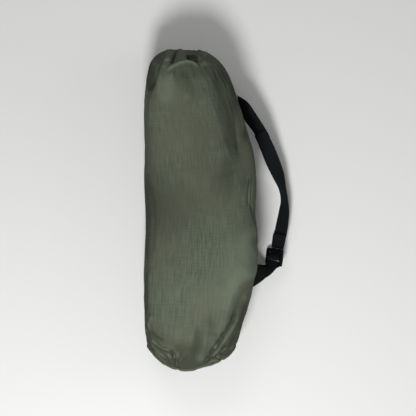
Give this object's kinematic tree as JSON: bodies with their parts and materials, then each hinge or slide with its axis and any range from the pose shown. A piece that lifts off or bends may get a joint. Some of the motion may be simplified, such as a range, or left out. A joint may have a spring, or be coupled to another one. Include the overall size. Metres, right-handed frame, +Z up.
{
  "type": "camping_cot",
  "caption": "Folding camping cot packed in a soft drawstring carry bag, with a side webbing shoulder strap and a moulded ladder lock.",
  "frame": {"origin": "middle of the flat strip on the bag's underside, which rests on the ground", "axes": "+Y along the bag towards its drawn mouth, +X towards the shoulder strap, +Z up"},
  "size_m": [0.2302, 0.5096, 0.125],
  "materials": {
    "olive_cloth": "matt woven cloth",
    "dark_trim": "matt braided cord",
    "black_webbing": "ribbed webbing",
    "black_plastic": "satin, moulded",
    "bed_cloth": "matt woven cloth",
    "anodised_tube": "dark anodised",
    "shock_cord": "braided"
  },
  "bodies": {
    "carry_bag": {"bag_cloth": "olive_cloth", "base_panel": "olive_cloth", "base_binding": "olive_cloth", "mouth_drawcord": "dark_trim"},
    "packed_cot": {"bed_sheet": "bed_cloth", "rail_left_1": "anodised_tube", "rail_left_2": "anodised_tube", "rail_left_3": "anodised_tube", "rail_left_4": "anodised_tube", "rail_left_5": "anodised_tube", "rail_right_1": "anodised_tube", "rail_right_2": "anodised_tube", "rail_right_3": "anodised_tube", "rail_right_4": "anodised_tube", "rail_right_5": "anodised_tube", "rail_cap_left_foot": "black_plastic", "rail_cap_left_head": "black_plastic", "rail_cap_right_foot": "black_plastic", "rail_cap_right_head": "black_plastic", "rail_cord_left": "shock_cord", "rail_cord_right": "shock_cord", "leg_arch_1": "anodised_tube", "leg_arch_2": "anodised_tube", "leg_arch_3": "anodised_tube", "leg_strut_1a": "anodised_tube", "leg_strut_1b": "anodised_tube", "leg_strut_2a": "anodised_tube", "leg_strut_2b": "anodised_tube", "leg_strut_3a": "anodised_tube", "leg_strut_3b": "anodised_tube", "leg_foot_1a": "black_plastic", "leg_foot_1b": "black_plastic", "leg_foot_2a": "black_plastic", "leg_foot_2b": "black_plastic", "leg_foot_3a": "black_plastic", "leg_foot_3b": "black_plastic", "rail_hook_1a": "black_plastic", "rail_hook_1b": "black_plastic", "rail_hook_2a": "black_plastic", "rail_hook_2b": "black_plastic", "rail_hook_3a": "black_plastic", "rail_hook_3b": "black_plastic", "leg_cord_1": "shock_cord", "leg_cord_2": "shock_cord", "leg_cord_3": "shock_cord"},
    "shoulder_strap": {"strap_tab_upper": "black_webbing", "strap_webbing": "black_webbing", "strap_tab_lower": "black_webbing"},
    "ladder_lock_body": {"ladder_lock": "black_plastic", "strap_wrap": "black_webbing", "strap_tail": "black_webbing"}
  },
  "joints": [
    {"name": "cot_slide", "type": "slide", "parent": "carry_bag", "child": "packed_cot", "axis": [0, 1, 0], "range_m": [0, 0.52], "deforming": ["bag_cloth", "mouth_drawcord"]},
    {"name": "strap_swing", "type": "hinge", "parent": "carry_bag", "child": "shoulder_strap", "pos_m": [0.05845, 0.1735, 0.047], "axis": [0.0881, -0.9956, -0.0322], "range_deg": [0, 80], "deforming": ["strap_tab_upper", "strap_tab_lower"]},
    {"name": "ladder_lock_tilt", "type": "hinge", "parent": "shoulder_strap", "child": "ladder_lock_body", "pos_m": [0.11655, -0.08638, 0.0137], "axis": [0.6969, -0.1203, 0.707], "range_deg": [0, 30]}
  ]
}
